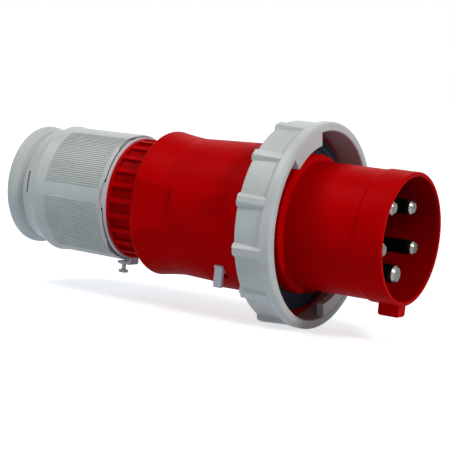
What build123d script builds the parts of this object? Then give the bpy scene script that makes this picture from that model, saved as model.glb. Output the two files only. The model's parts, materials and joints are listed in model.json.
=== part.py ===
"""An industrial pin and sleeve plug, three phases with neutral and earth, watertight, with a lock ring.

Millimetres. X is the plug's axis and points out of the mating face. The origin is the centre of the
sleeve's front rim. Z is up and the key nub is at the bottom, at 6 o'clock. Along the axis the plug
is, from front to back: the shroud with its contacts, the lock ring, the rear housing with its
pocketed neck, the gland nut and the bell mouth. Angles run about X from +Y towards +Z.
"""

import math
import os

from build123d import *

# Clearances
FIT_GAP = 0.1          # between pieces that are assembled and then stay put
TURN_GAP = 0.35        # between pieces that turn or slide on each other
BOTTOM = -90.0         # the angle of 6 o'clock
CUT_OVER = 1.0         # how far a cutting piece runs past what it cuts
SINK = 0.3             # how far an added piece is sunk into its base
SLOT_WIDTH = 0.8       # screwdriver slots
SLOT_DEPTH = 0.9

# Shroud, the red front moulding
COLLAR_R = 36.0
COLLAR_LENGTH = 16.0
COLLAR_STEP = 1.6
SLEEVE_R = 35.2
SLEEVE_BORE_R = 33.4
RIM_ROUNDING = 0.8
FOOT_FRONT_X = -58.3
FOOT_SLOPE = 1.5
FOOT_RISE = 3.4
FOOT_ROUNDING = 0.8
FOOT_NOTCH_WIDTH = 9.4
FOOT_NOTCH_REAR_X = -65.0
CARRIER_FACE_X = -60.0
CARRIER_LIP = 2.0
CARRIER_R = 31.0
CARRIER_LIP_R = 29.4
FLANGE_FRONT_X = -66.0
FLANGE_REAR_X = -74.0
FLANGE_R = 51.2
FLANGE_EDGE_WIDTH = 3.0
FLANGE_EDGE_SETBACK = 0.6
FLANGE_ROUNDING = 0.8
SPIGOT_R = 37.4
SPIGOT_END_X = -108.0
HUB_R = 44.0

# Key nub on the collar
KEY_WIDTH = 8.0
KEY_R = 42.2
KEY_FRONT_X = -1.2
KEY_REAR_X = -13.4
KEY_ROUNDING = 1.6

# Gasket on the flange
GASKET_THICKNESS = 3.0
GASKET_BEAD_R = 0.7
GASKET_BEAD_SHARES = (0.35, 0.75)

# Contacts
PITCH_R = 19.8
CONTACT_STEP = 72.0
CONTACT_TIP_X = -6.3
LINE_PIN_R = 4.0
EARTH_PIN_R = 5.0
PILOT_PIN_R = 3.0
PILOT_TIP_X = -22.0
TIP_CHAMFER = 1.3
TIP_ROUNDING = 0.5
CONTACT_ROOT_STEP = 0.6
TERMINAL_WALL = 2.4
TERMINAL_ROUNDING = 0.6
TERMINAL_LENGTH = 20.0
WIRE_DEPTH = 15.0
WIRE_POINT = 1.0
TERMINAL_SCREW_R = 2.5
TERMINAL_SCREW_LENGTH = 5.0
TERMINAL_SCREW_PROUD = 1.0

# Contact carrier
CARRIER_END_X = -90.0
PIN_COLLAR_WALL = 1.8
PIN_COLLAR_HEIGHT = 2.6
CHAMBER_DEPTH = 10.0
RETAINER_THICKNESS = 4.0
RETAINER_BORE_R = 28.8
RETAINER_EAR_R = 4.4
CARRIER_SCREW_PITCH_R = 26.0
CARRIER_SCREW_R = 1.6
CARRIER_SCREW_HEAD_R = 2.9
CARRIER_SCREW_HEAD = 2.0
CARRIER_SCREW_LENGTH = 9.0
CARRIER_SCREW_COUNT = 3

# Lock ring
RING_FRONT_X = -53.5
RING_REAR_X = -76.6
RING_ROOM = 0.8          # between the flange's edge and the ring's bore
RING_WALL = 3.6          # left under the panels
RING_PANEL_DEPTH = 1.4
RING_BAND_END_X = -59.0
RING_PANEL_FRONT_X = -61.4
RING_LIP = 2.2
RING_FRONT_ROUNDING = 2.0
RING_BORE_ROUNDING = 1.0
RING_REAR_ROUNDING = 1.2
RIB_GROUPS = 2
RIBS_IN_GROUP = 6
RIB_PITCH = 27.69
RIB_FIRST_ANGLE = 111.9
RIB_RISE = 1.0           # how far the ribs rise above the band towards the rear
RIB_TOP_WIDTH = 3.6
RIB_FOOT_WIDTH = 7.6
RIB_SINK = 1.6           # how far the ribs run down into the wall
RIB_ROUNDING = 0.8
LUG_R = 45.0
LUG_THICKNESS = 4.5
LUG_SETBACK = 0.4
LUG_SPAN = 33.5
LUG_FIRST_ANGLE = 103.5
LUG_HOOK = 3.4
LUG_HOOK_SPAN = 4.0
LUG_COUNT = 2
STOP_SPAN = 8.0
STOP_HEIGHT = 2.0
STOP_THICKNESS = 3.0
STOP_START = 20.0
STOP_COUNT = 2
RING_TURN = 45.0
STOP_MARGIN = 2.0

# Rear housing
HOUSING_FRONT_X = -77.2
HOUSING_FRONT_R = 41.6
HOUSING_WAIST_R = 39.1
HOUSING_WAIST_X = -135.0
HOUSING_COLLAR_R = 41.5
HOUSING_COLLAR_X = -153.8
HOUSING_COLLAR_RISE = 8.0       # from the collar's edge forward to the middle of its rise
HOUSING_COLLAR_SWELL = -0.1
HOUSING_COLLAR_ROUNDING = 2.0
HOUSING_SHOULDER = 4.2
SHOULDER_FOOT_ROUNDING = 0.8
NECK_R = 34.6
THREAD_R = 32.6
NECK_END_X = -204.0
NECK_BORE_R = 26.0
CAVITY_R = 35.0
CAVITY_END_X = -150.0
CAVITY_TAPER = 8.0
SPIGOT_ROOM = 2.0
POCKET_COUNT = 24
POCKET_SPAN = 10.5
POCKET_FIRST_ANGLE = 2.3
POCKET_DEPTH = 1.6
POCKET_REAR_X = -172.6
SIDE_FLAT_FRONT_X = -126.3
SIDE_FLAT_FRONT_DEPTH = 4.6     # below the collar's radius
SIDE_FLAT_REAR_DEPTH = 3.3
SIDE_FLAT_RAMP = 4.0
SIDE_FLAT_TURN_X = -150.8
SIDE_FLAT_ROLL = 4.6
SIDE_FLAT_ROLL_DEPTH = 1.8
SCOOP_FRONT_X = -90.0
SCOOP_REAR_X = -122.0
SCOOP_DEPTH = 3.0
SCOOP_START_DEPTH = 1.6
SCOOP_BULGE = 0.15
SCOOP_EDGE = 1.6
PAD_R = 40.0
PAD_DROP = 2.4
PAD_REAR_X = -109.0

# Housing lock slide
SLIDE_FRONT_X = -95.6
SLIDE_LENGTH = 5.2
SLIDE_HALF_WIDTH = 31.4
SLIDE_EAR = 2.3
SLIDE_TOP_Z = -27.1
SLIDE_BOTTOM_Z = -39.2
SLIDE_EAR_ROUNDING = 1.1
SLIDE_EDGE_ROUNDING = 0.5
SLIDE_TURN = 6.0
SLIDE_BAND = 1.1
SLIDE_BAND_SPAN = 104.0
SLIDE_BAND_ROOM = 2.0
SLIDE_ROOT_R = 42.4
SLIDE_ROOT_START = 40.5         # degrees below the level of the axis, at each side
SLIDE_ROOT_SPAN = 7.0

# Seal between the shroud's spigot and the rear housing
O_RING_R = 1.6
O_RING_SETBACK = 10.0
O_RING_GROOVE = 3.6

# Gland lock ring with its tab and screw
GLAND_RING_REAR_X = -176.2
GLAND_RING_THICKNESS = 1.6
GLAND_RING_R = 35.6
GLAND_LUG_DEPTH = 2.4
GLAND_LUG_SPAN = 24.0
GLAND_LUG_WALL = 1.5
GLAND_LUG_COUNT = 3
GLAND_LUG_FIRST_ANGLE = 165.0
TAB_WIDTH = 8.0
TAB_BOTTOM_Z = -39.1
TAB_REAR_X = -183.9
TAB_ROUNDING = 1.2
SCREW_X = -181.8
SCREW_R = 1.3
SCREW_HEAD_R = 2.9
SCREW_HEAD_HEIGHT = 1.7
SCREW_OUT = 3.6
SCREW_POINT = 0.4
SCREW_HEAD_ROUNDING = 0.8
SCREW_SLOT_LENGTH = 3.0
SCREW_SLOT_DEPTH = 0.7
SCREW_NOTCH_ROOM = 0.6

# Gland nut
NUT_FRONT_R = 36.7
NUT_WAIST_X = -217.8
NUT_WAIST_R = 36.2
NUT_REAR_X = -224.6
NUT_REAR_R = 36.9
NUT_CONE_R = 34.5
NUT_CONE_X = -229.3
NUT_END_R = 32.0
NUT_END_X = -236.4
NUT_WALL = 2.7
NUT_WALL_BORE_R = 22.0
NUT_RIM_WIDTH = 0.8
NUT_RECESS = 3.0
NUT_INNER_END_R = 28.6
NUT_ROUNDING = 0.6
SCALLOP_COUNT = 6        # shallow scallops in the nut's front rim
SCALLOP_DEPTH = 2.0
SCALLOP_WIDTH = 19.0
SCALLOP_FIRST_ANGLE = 117.0
NUT_REAR_ROUNDING = 2.4
NUT_CONE_ROUNDING = 2.4
NUT_END_ROUNDING = 0.6
PANEL_GROUPS = 2
PANELS_IN_GROUP = 2
PANEL_PITCH = 72.0
PANEL_SPAN = 59.2
PANEL_FIRST_ANGLE = 142.0
PANEL_FRONT_X = -179.2
PANEL_REAR_X = -217.2
FINE_RIBS = 29
FINE_RIB_HEIGHT = 0.35
FINE_RIB_SHARE = 0.5

# Bell mouth
BELL_RIM_R = 34.6
BELL_RIM_X = -242.6
BELL_END_X = -246.7
BELL_NECK_R = 31.9
BELL_NECK_LENGTH = 1.2
BELL_NECK_ROUNDING = 3.0
BELL_FLARE_ROUNDING = 2.2
BELL_RIM_ROUNDING = 2.2
BELL_LIP = 4.0
BELL_LIP_ROUNDING = 1.4
BELL_MOUTH_DEPTH = 5.0
BELL_MOUTH_TAPER = 2.0
BELL_SPIGOT_R = 28.9
BELL_THROAT_R = 20.0
CATCH_SPAN = 21.0
CATCH_WIDTH = 1.5
CATCH_DEPTH = 2.0
CATCH_X = -231.8
CATCH_FIRST_ANGLE = 164.4
CATCH_COUNT = 3

# Cable clamp inside the nut
CAGE_RING = 3.0
CAGE_WALL = 2.4
CAGE_FINGER_LENGTH = 15.0
CAGE_FINGERS = 12
CAGE_SLIT = 2.0
CAGE_GAP = 0.5
GROMMET_BORE_R = 16.0
GROMMET_INSET = 6.0
GROMMET_LENGTH = 26.0
GROMMET_GAP = 0.3
GROMMET_GROOVES = 2
GROMMET_GROOVE_WIDTH = 0.8
GROMMET_GROOVE_DEPTH = 1.5
WASHER_THICKNESS = 1.6
WASHER_BORE_R = 17.0

# Values that follow from the ones above
PIN_ROOT_X = CARRIER_FACE_X + PIN_COLLAR_HEIGHT
CARRIER_FRONT_X = CARRIER_FACE_X - CARRIER_LIP
CHAMBER_FRONT_X = CARRIER_END_X + CHAMBER_DEPTH
TERMINAL_END_X = CHAMBER_FRONT_X - TERMINAL_LENGTH
TERMINAL_SCREW_X = TERMINAL_END_X + WIRE_DEPTH / 2
RETAINER_FRONT_X = CARRIER_END_X - FIT_GAP
RETAINER_REAR_X = RETAINER_FRONT_X - RETAINER_THICKNESS
HOUSING_BORE_R = SPIGOT_R + FIT_GAP
O_RING_X = HOUSING_FRONT_X - O_RING_SETBACK
O_RING_FLOOR_R = SPIGOT_R - 2 * O_RING_R - FIT_GAP
FOOT_R = SLEEVE_R + FOOT_RISE
RING_BORE_R = FLANGE_R + RING_ROOM
RING_PANEL_R = RING_BORE_R + RING_WALL
RING_R = RING_PANEL_R + RING_PANEL_DEPTH
RIB_R = RING_R + RIB_RISE
STOP_FLOOR_R = RING_BORE_R - STOP_HEIGHT - TURN_GAP
GASKET_REAR_X = FLANGE_FRONT_X - GASKET_THICKNESS
GASKET_SEAT_R = FLANGE_R - FLANGE_EDGE_WIDTH
RING_LIP_X = RING_REAR_X + RING_LIP
NECK_FRONT_X = HOUSING_COLLAR_X - HOUSING_SHOULDER
HOUSING_STOP_X = SPIGOT_END_X - SPIGOT_ROOM
PAD_CORE_R = (HOUSING_BORE_R + HOUSING_FRONT_R) / 2
SCOOP_FLOOR_Y = HOUSING_FRONT_R - SCOOP_DEPTH
SCOOP_START_Y = HOUSING_FRONT_R - SCOOP_START_DEPTH
SLIDE_REAR_X = SLIDE_FRONT_X - SLIDE_LENGTH
SLIDE_ROOM_FRONT_X = SLIDE_FRONT_X + TURN_GAP
SLIDE_ROOM_REAR_X = SLIDE_REAR_X - TURN_GAP
SLIDE_BAND_R = HOUSING_BORE_R + TURN_GAP
SLIDE_ROOM_ANGLE = math.degrees(TURN_GAP / SLIDE_BAND_R)
GLAND_RING_FRONT_X = GLAND_RING_REAR_X + GLAND_RING_THICKNESS
NECK_SHOULDER_X = GLAND_RING_FRONT_X + FIT_GAP
NUT_FRONT_X = GLAND_RING_REAR_X - TURN_GAP
SCALLOP_R = (SCALLOP_WIDTH ** 2 / 4 + SCALLOP_DEPTH ** 2) / (2 * SCALLOP_DEPTH)
TAB_TOP_Z = -(NUT_FRONT_R + FINE_RIB_HEIGHT + TURN_GAP)
SCREW_LENGTH = SCREW_OUT + TAB_TOP_Z - TAB_BOTTOM_Z
NOTCH_HALF_WIDTH = SCREW_R + SCREW_NOTCH_ROOM
NOTCH_REAR_X = SCREW_X - NOTCH_HALF_WIDTH
NUT_RIM_BORE_R = NUT_FRONT_R - NUT_RIM_WIDTH
NUT_BORE_R = THREAD_R + TURN_GAP
CAGE_SEAT_X = NECK_END_X - FIT_GAP - CAGE_RING
CAGE_END_X = CAGE_SEAT_X - CAGE_FINGER_LENGTH
CAGE_TIP_R = NUT_INNER_END_R - CAGE_GAP
GROMMET_R = CAGE_TIP_R - CAGE_WALL - GROMMET_GAP
GROMMET_FRONT_X = NECK_END_X + GROMMET_INSET
GROMMET_REAR_X = GROMMET_FRONT_X - GROMMET_LENGTH
WASHER_REAR_X = GROMMET_REAR_X - TURN_GAP - WASHER_THICKNESS
NUT_WALL_FRONT_X = WASHER_REAR_X - TURN_GAP
NUT_WALL_REAR_X = NUT_WALL_FRONT_X - NUT_WALL

# The contacts: name, pin radius, angle on the pitch circle, and where the tip ends
CONTACT_ANGLES = [BOTTOM + CONTACT_STEP * i for i in range(5)]
CONTACTS = [
    ("contact_earth", EARTH_PIN_R, PITCH_R, CONTACT_ANGLES[0], CONTACT_TIP_X),
    ("contact_l1", LINE_PIN_R, PITCH_R, CONTACT_ANGLES[1], CONTACT_TIP_X),
    ("contact_l2", LINE_PIN_R, PITCH_R, CONTACT_ANGLES[2], CONTACT_TIP_X),
    ("contact_l3", LINE_PIN_R, PITCH_R, CONTACT_ANGLES[3], CONTACT_TIP_X),
    ("contact_neutral", LINE_PIN_R, PITCH_R, CONTACT_ANGLES[4], CONTACT_TIP_X),
    ("contact_pilot", PILOT_PIN_R, 0.0, BOTTOM, PILOT_TIP_X),
]


def turned(*corners):
    """A solid turned about the plug's axis. A corner is (x, radius) or (x, radius, rounding)."""
    outline = make_face(Polyline(*[(c[0], c[1]) for c in corners], close=True))
    for corner in corners:
        if len(corner) == 3:
            vertex = outline.vertices().sort_by_distance(Vector(corner[0], corner[1]))[0]
            outline = fillet(vertex, corner[2])
    return revolve(outline, Axis.X, 360)


def tube(rear_x, front_x, bore_r, outer_r):
    return turned((rear_x, bore_r), (front_x, bore_r), (front_x, outer_r), (rear_x, outer_r))


def sector(rear_x, front_x, inner_r, outer_r, start, span):
    """A piece of a tube that covers span degrees from the angle start."""
    outline = make_face(
        Polyline((rear_x, inner_r), (front_x, inner_r), (front_x, outer_r), (rear_x, outer_r), close=True)
    )
    return Rot(X=start) * revolve(outline, Axis.X, span)


def rod(rear_x, front_x, radius, y=0.0, z=0.0):
    """A plain cylinder along X."""
    return Pos(rear_x, y, z) * extrude(Plane.YZ * Circle(radius), front_x - rear_x)


def upright(radius, height):
    """A plain cylinder along Z that stands on the origin."""
    return extrude(Plane.XY * Circle(radius), height)


def block(rear_x, front_x, low_y, high_y, low_z, high_z):
    return Pos((rear_x + front_x) / 2, (low_y + high_y) / 2, (low_z + high_z) / 2) * Box(
        front_x - rear_x, high_y - low_y, high_z - low_z
    )


def round_the_axis(piece, count, start=0.0):
    """Equal copies about the plug's axis, the first turned by start degrees."""
    return [Rot(X=start + 360.0 * i / count) * piece for i in range(count)]


def on_circle(radius, angle):
    return radius * math.cos(math.radians(angle)), radius * math.sin(math.radians(angle))


def contact_root_radius(pin_r):
    return pin_r + CONTACT_ROOT_STEP


def terminal_radius(pin_r):
    return pin_r + TERMINAL_WALL


def make_shroud():
    """Sleeve with collar, key nub and foot, flange with the gasket's seat, hub for the ring, spigot."""
    body = turned(
        (0.0, SLEEVE_BORE_R, RIM_ROUNDING),
        (0.0, COLLAR_R, RIM_ROUNDING),
        (-COLLAR_LENGTH, COLLAR_R),
        (-COLLAR_LENGTH - COLLAR_STEP, SLEEVE_R),
        (FOOT_FRONT_X, SLEEVE_R),
        (FOOT_FRONT_X - FOOT_SLOPE, FOOT_R, FOOT_ROUNDING),
        (GASKET_REAR_X, FOOT_R),
        (GASKET_REAR_X, GASKET_SEAT_R),
        (FLANGE_FRONT_X - FLANGE_EDGE_SETBACK, GASKET_SEAT_R),
        (FLANGE_FRONT_X - FLANGE_EDGE_SETBACK, FLANGE_R, FLANGE_ROUNDING),
        (FLANGE_REAR_X, FLANGE_R),
        (FLANGE_REAR_X, HUB_R),
        (HOUSING_FRONT_X + FIT_GAP, HUB_R),
        (HOUSING_FRONT_X + FIT_GAP, SPIGOT_R),
        (SPIGOT_END_X, SPIGOT_R),
        (SPIGOT_END_X, CARRIER_R + FIT_GAP),
        (CARRIER_FRONT_X, CARRIER_R + FIT_GAP),
        (CARRIER_FRONT_X, CARRIER_LIP_R),
        (CARRIER_FACE_X, CARRIER_LIP_R),
        (CARRIER_FACE_X, SLEEVE_BORE_R),
    )
    key_top_z = -(SLEEVE_BORE_R + SLEEVE_R) / 2
    key = block(KEY_REAR_X, KEY_FRONT_X, -KEY_WIDTH / 2, KEY_WIDTH / 2, -KEY_R, key_top_z)
    key = fillet(key.edges().group_by(Axis.Z)[0], KEY_ROUNDING)
    groove_rear_x = O_RING_X - O_RING_GROOVE / 2
    groove = tube(groove_rear_x, groove_rear_x + O_RING_GROOVE, O_RING_FLOOR_R, SPIGOT_R + CUT_OVER)
    gap_span = RING_TURN + STOP_SPAN + 2 * STOP_MARGIN
    rear_x, front_x = FLANGE_REAR_X - CUT_OVER, FLANGE_FRONT_X + CUT_OVER
    stop_gap = sector(rear_x, front_x, STOP_FLOOR_R, FLANGE_R + CUT_OVER, 0.0, gap_span)
    for piece in round_the_axis(stop_gap, STOP_COUNT, STOP_START - STOP_MARGIN):
        body -= piece
    half = FOOT_NOTCH_WIDTH / 2
    notch = block(FOOT_NOTCH_REAR_X, FOOT_FRONT_X + CUT_OVER, -half, half, -(FOOT_R + CUT_OVER), 0.0)
    notch -= rod(FOOT_NOTCH_REAR_X - CUT_OVER, FOOT_FRONT_X + 2 * CUT_OVER, SLEEVE_R)
    return body + key - groove - notch


def make_o_ring():
    """The round seal in the spigot's groove, just proud of it."""
    return revolve(Pos(O_RING_X, SPIGOT_R + FIT_GAP / 2 - O_RING_R) * Circle(O_RING_R), Axis.X, 360)


def make_gasket():
    """A flat gasket in the flange's seat, with two sealing beads on its face."""
    inner_r, outer_r = FOOT_R + FIT_GAP, GASKET_SEAT_R - FIT_GAP
    gasket = tube(GASKET_REAR_X, FLANGE_FRONT_X, inner_r, outer_r)
    for share in GASKET_BEAD_SHARES:
        bead_r = inner_r + (outer_r - inner_r) * share
        gasket += revolve(Pos(FLANGE_FRONT_X, bead_r) * Circle(GASKET_BEAD_R), Axis.X, 360)
    return gasket


def make_contact(pin_r, pitch_r, angle, tip_x):
    """A turned contact: chamfered pin, thicker root, terminal with a wire bore and a screw hole."""
    root_r = contact_root_radius(pin_r)
    shell_r = terminal_radius(pin_r)
    pin = turned(
        (tip_x, 0.0),
        (tip_x, pin_r - TIP_CHAMFER),
        (tip_x - TIP_CHAMFER, pin_r, TIP_ROUNDING),
        (PIN_ROOT_X, pin_r),
        (PIN_ROOT_X, root_r),
        (CHAMBER_FRONT_X, root_r),
        (CHAMBER_FRONT_X, shell_r),
        (TERMINAL_END_X, shell_r, TERMINAL_ROUNDING),
        (TERMINAL_END_X, shell_r - TERMINAL_WALL),
        (TERMINAL_END_X + WIRE_DEPTH, shell_r - TERMINAL_WALL),
        (TERMINAL_END_X + WIRE_DEPTH + WIRE_POINT, 0.0),
    )
    hole = Pos(TERMINAL_SCREW_X, 0, 0) * upright(TERMINAL_SCREW_R + FIT_GAP, shell_r + CUT_OVER)
    y, z = on_circle(pitch_r, angle)
    return Pos(0, y, z) * (Rot(X=angle - 90.0) * (pin - hole))


def make_terminal_screw(pin_r, pitch_r, angle):
    """A grub screw in the terminal, set from the outside of the plug, with a slot."""
    shell_r = terminal_radius(pin_r)
    screw = upright(TERMINAL_SCREW_R, TERMINAL_SCREW_LENGTH)
    slot = Box(2 * TERMINAL_SCREW_R + CUT_OVER, SLOT_WIDTH, 2 * SLOT_DEPTH)
    screw -= Pos(0, 0, TERMINAL_SCREW_LENGTH) * slot
    y, z = on_circle(pitch_r, angle)
    lift = shell_r - TERMINAL_SCREW_LENGTH + TERMINAL_SCREW_PROUD
    return Pos(0, y, z) * (Rot(X=angle - 90.0) * (Pos(TERMINAL_SCREW_X, 0, lift) * screw))


def make_carrier():
    """The insulating block: a raised collar round each pin, a chamber behind each for its terminal."""
    carrier = rod(CARRIER_END_X, CARRIER_FRONT_X - FIT_GAP, CARRIER_R)
    carrier += rod(CARRIER_FRONT_X - 2 * FIT_GAP, CARRIER_FACE_X, CARRIER_LIP_R - FIT_GAP)
    for _, pin_r, pitch_r, angle, _ in CONTACTS:
        y, z = on_circle(pitch_r, angle)
        carrier += rod(CARRIER_FACE_X - CUT_OVER, PIN_ROOT_X, pin_r + PIN_COLLAR_WALL, y, z)
    for _, pin_r, pitch_r, angle, _ in CONTACTS:
        y, z = on_circle(pitch_r, angle)
        rear_x = CARRIER_END_X - CUT_OVER
        carrier -= rod(rear_x, PIN_ROOT_X + CUT_OVER, contact_root_radius(pin_r) + FIT_GAP, y, z)
        carrier -= rod(rear_x, CHAMBER_FRONT_X + FIT_GAP, terminal_radius(pin_r) + FIT_GAP, y, z)
    hole_end_x = RETAINER_REAR_X + CARRIER_SCREW_LENGTH + FIT_GAP
    for y, z in carrier_screw_places():
        carrier -= rod(CARRIER_END_X - CUT_OVER, hole_end_x, CARRIER_SCREW_R + FIT_GAP, y, z)
    return carrier


def carrier_screw_places():
    """Places between the contacts, as evenly spread as five gaps allow for three screws."""
    angles = [BOTTOM + CONTACT_STEP * (0.5 + 2 * i) for i in range(CARRIER_SCREW_COUNT)]
    return [on_circle(CARRIER_SCREW_PITCH_R, angle) for angle in angles]


def make_retainer():
    """A ring behind the carrier, screwed to it, that seats inside the spigot."""
    ring = tube(RETAINER_REAR_X, RETAINER_FRONT_X, RETAINER_BORE_R, CARRIER_R)
    whole = rod(RETAINER_REAR_X, RETAINER_FRONT_X, CARRIER_R)
    for y, z in carrier_screw_places():
        ring += rod(RETAINER_REAR_X, RETAINER_FRONT_X, RETAINER_EAR_R, y, z) & whole
    for y, z in carrier_screw_places():
        ring -= rod(RETAINER_REAR_X - CUT_OVER, RETAINER_FRONT_X + CUT_OVER, CARRIER_SCREW_R + FIT_GAP, y, z)
    return ring


def make_carrier_screws():
    """Three slotted screws that hold the retainer to the carrier."""
    head_x = RETAINER_REAR_X - CARRIER_SCREW_HEAD
    screws = []
    for y, z in carrier_screw_places():
        head = rod(head_x, RETAINER_REAR_X, CARRIER_SCREW_HEAD_R, y, z)
        shank = rod(RETAINER_REAR_X, RETAINER_REAR_X + CARRIER_SCREW_LENGTH, CARRIER_SCREW_R, y, z)
        slot = Pos(head_x, y, z) * Box(2 * SLOT_DEPTH, SLOT_WIDTH, 2 * CARRIER_SCREW_HEAD_R + CUT_OVER)
        screws.append(head + shank - slot)
    return screws


def make_rib():
    """A grip rib with sloped sides. Its top is level with the band in front and rises to the rear."""
    half_top, half_foot = RIB_TOP_WIDTH / 2, RIB_FOOT_WIDTH / 2
    section = Plane.YZ * make_face(Polyline(
        (RING_PANEL_R - RIB_SINK, -half_foot),
        (RING_PANEL_R - RIB_SINK, half_foot),
        (RING_PANEL_R, half_foot),
        (RIB_R, half_top),
        (RIB_R, -half_top),
        (RING_PANEL_R, -half_foot),
        close=True,
    ))
    run = Vector(RING_BAND_END_X - RING_REAR_X, -RIB_RISE, 0)
    rib = Pos(RING_REAR_X, 0, 0) * extrude(section, run.length, dir=run)
    return fillet(rib.faces().sort_by(Axis.Y)[-1].edges(), RIB_ROUNDING)


def make_lock_ring():
    """Bayonet ring: outer grip ribs with sunk panels between, inner lugs, rear lip, two turning stops."""
    ring = turned(
        (RING_FRONT_X, RING_BORE_R, RING_BORE_ROUNDING),
        (RING_FRONT_X, RING_R, RING_FRONT_ROUNDING),
        (RING_BAND_END_X, RING_R),
        (RING_PANEL_FRONT_X, RING_PANEL_R),
        (RING_REAR_X, RING_PANEL_R, RING_REAR_ROUNDING),
        (RING_REAR_X, HUB_R + TURN_GAP),
        (RING_LIP_X, HUB_R + TURN_GAP),
        (RING_LIP_X, RING_BORE_R),
    )
    rib = make_rib()
    for group in range(RIB_GROUPS):
        start = RIB_FIRST_ANGLE + 360.0 * group / RIB_GROUPS
        ring += [Rot(X=start + RIB_PITCH * i) * rib for i in range(RIBS_IN_GROUP)]
    root_r = RING_BORE_R + CUT_OVER
    lug_rear_x = RING_FRONT_X - LUG_THICKNESS
    lug = sector(lug_rear_x, RING_FRONT_X - LUG_SETBACK, LUG_R, root_r, 0.0, LUG_SPAN)
    hook_start = LUG_SPAN - LUG_HOOK_SPAN
    lug += sector(lug_rear_x - LUG_HOOK, lug_rear_x + SINK, LUG_R, root_r, hook_start, LUG_HOOK_SPAN)
    ring += round_the_axis(lug, LUG_COUNT, LUG_FIRST_ANGLE)
    stop_r = RING_BORE_R - STOP_HEIGHT
    stop = sector(RING_LIP_X - SINK, RING_LIP_X + STOP_THICKNESS, stop_r, root_r, 0.0, STOP_SPAN)
    ring += round_the_axis(stop, STOP_COUNT, STOP_START)
    return ring


def housing_outline():
    """The housing's outline, half of a section through the axis."""
    edges = [
        Line((HOUSING_FRONT_X, HOUSING_BORE_R), (HOUSING_FRONT_X, HOUSING_FRONT_R)),
        Line((HOUSING_FRONT_X, HOUSING_FRONT_R), (HOUSING_WAIST_X, HOUSING_WAIST_R)),
        Spline(
            (HOUSING_WAIST_X, HOUSING_WAIST_R),
            (
                HOUSING_COLLAR_X + HOUSING_COLLAR_RISE,
                (HOUSING_WAIST_R + HOUSING_COLLAR_R) / 2 + HOUSING_COLLAR_SWELL,
            ),
            (HOUSING_COLLAR_X, HOUSING_COLLAR_R),
        ),
        Polyline(
            (HOUSING_COLLAR_X, HOUSING_COLLAR_R),
            (NECK_FRONT_X, NECK_R),
            (NECK_SHOULDER_X, NECK_R),
            (NECK_SHOULDER_X, THREAD_R),
            (NECK_END_X, THREAD_R),
            (NECK_END_X, NECK_BORE_R),
            (CAVITY_END_X - CAVITY_TAPER, NECK_BORE_R),
            (CAVITY_END_X, CAVITY_R),
            (HOUSING_STOP_X, CAVITY_R),
            (HOUSING_STOP_X, HOUSING_BORE_R),
            (HOUSING_FRONT_X, HOUSING_BORE_R),
        ),
    ]
    outline = make_face(edges)
    roundings = [
        (HOUSING_COLLAR_X, HOUSING_COLLAR_R, HOUSING_COLLAR_ROUNDING),
        (NECK_FRONT_X, NECK_R, SHOULDER_FOOT_ROUNDING),
    ]
    for x, radius, rounding in roundings:
        outline = fillet(outline.vertices().sort_by_distance(Vector(x, radius))[0], rounding)
    return outline


def make_rear_housing():
    """Grip housing turned about the axis, then cut: side flats, scoops, neck pockets, slide windows."""
    housing = revolve(housing_outline(), Axis.X, 360)
    pad = rod(PAD_REAR_X, HOUSING_FRONT_X, PAD_R, 0, -PAD_DROP)
    housing += pad - rod(PAD_REAR_X - CUT_OVER, HOUSING_FRONT_X + CUT_OVER, PAD_CORE_R)
    for side in (-1, 1):
        housing -= side_flat(side)
        housing -= finger_scoop(side)
        housing -= slide_window(side)
    housing -= slide_groove()
    pocket_floor_r = NECK_R - POCKET_DEPTH
    pocket_r = NECK_R + CUT_OVER
    pocket = sector(POCKET_REAR_X, NECK_FRONT_X, pocket_floor_r, pocket_r, 0.0, POCKET_SPAN)
    for piece in round_the_axis(pocket, POCKET_COUNT, POCKET_FIRST_ANGLE):
        housing -= piece
    return housing


def side_flat(side):
    """A flat that a ramp leads into in front and that rolls off over the collar's edge behind."""
    far = HOUSING_COLLAR_R + CUT_OVER
    front_y = HOUSING_COLLAR_R - SIDE_FLAT_FRONT_DEPTH
    rear_y = HOUSING_COLLAR_R - SIDE_FLAT_REAR_DEPTH
    ramp_end = (SIDE_FLAT_FRONT_X - SIDE_FLAT_RAMP, front_y)
    turn = (SIDE_FLAT_TURN_X, rear_y)
    roll_end = (SIDE_FLAT_TURN_X - SIDE_FLAT_ROLL, rear_y - SIDE_FLAT_ROLL_DEPTH)
    rear_x = NECK_FRONT_X - CUT_OVER
    edge = [
        Polyline((rear_x, far), (SIDE_FLAT_FRONT_X + SIDE_FLAT_RAMP, far), ramp_end, turn),
        TangentArc(turn, roll_end, tangent=(SIDE_FLAT_TURN_X - ramp_end[0], rear_y - front_y)),
        Polyline(roll_end, (rear_x, roll_end[1]), (rear_x, far)),
    ]
    wedge = extrude(make_face(edge), far, both=True)
    return wedge if side > 0 else mirror(wedge, Plane.XZ)


def finger_scoop(side):
    """A hollow that deepens towards the front rim, cut by a curved wedge that runs along Z."""
    far = HOUSING_FRONT_R + CUT_OVER
    low_x = SCOOP_FRONT_X - SCOOP_EDGE
    start = (SCOOP_REAR_X, SCOOP_START_Y)
    middle = ((low_x + SCOOP_REAR_X) / 2, (SCOOP_FLOOR_Y + SCOOP_START_Y) / 2 + SCOOP_BULGE)
    deepest = (low_x, SCOOP_FLOOR_Y)
    edge = [
        ThreePointArc(start, middle, deepest),
        Polyline(deepest, (SCOOP_FRONT_X, far), (SCOOP_REAR_X, far), start),
    ]
    wedge = extrude(make_face(edge), far, both=True)
    return wedge if side > 0 else mirror(wedge, Plane.XZ)


def slide_root_start(side):
    """The angle at which one root of the slide begins."""
    return -SLIDE_ROOT_START - SLIDE_ROOT_SPAN if side > 0 else SLIDE_ROOT_START - 180.0


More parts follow.
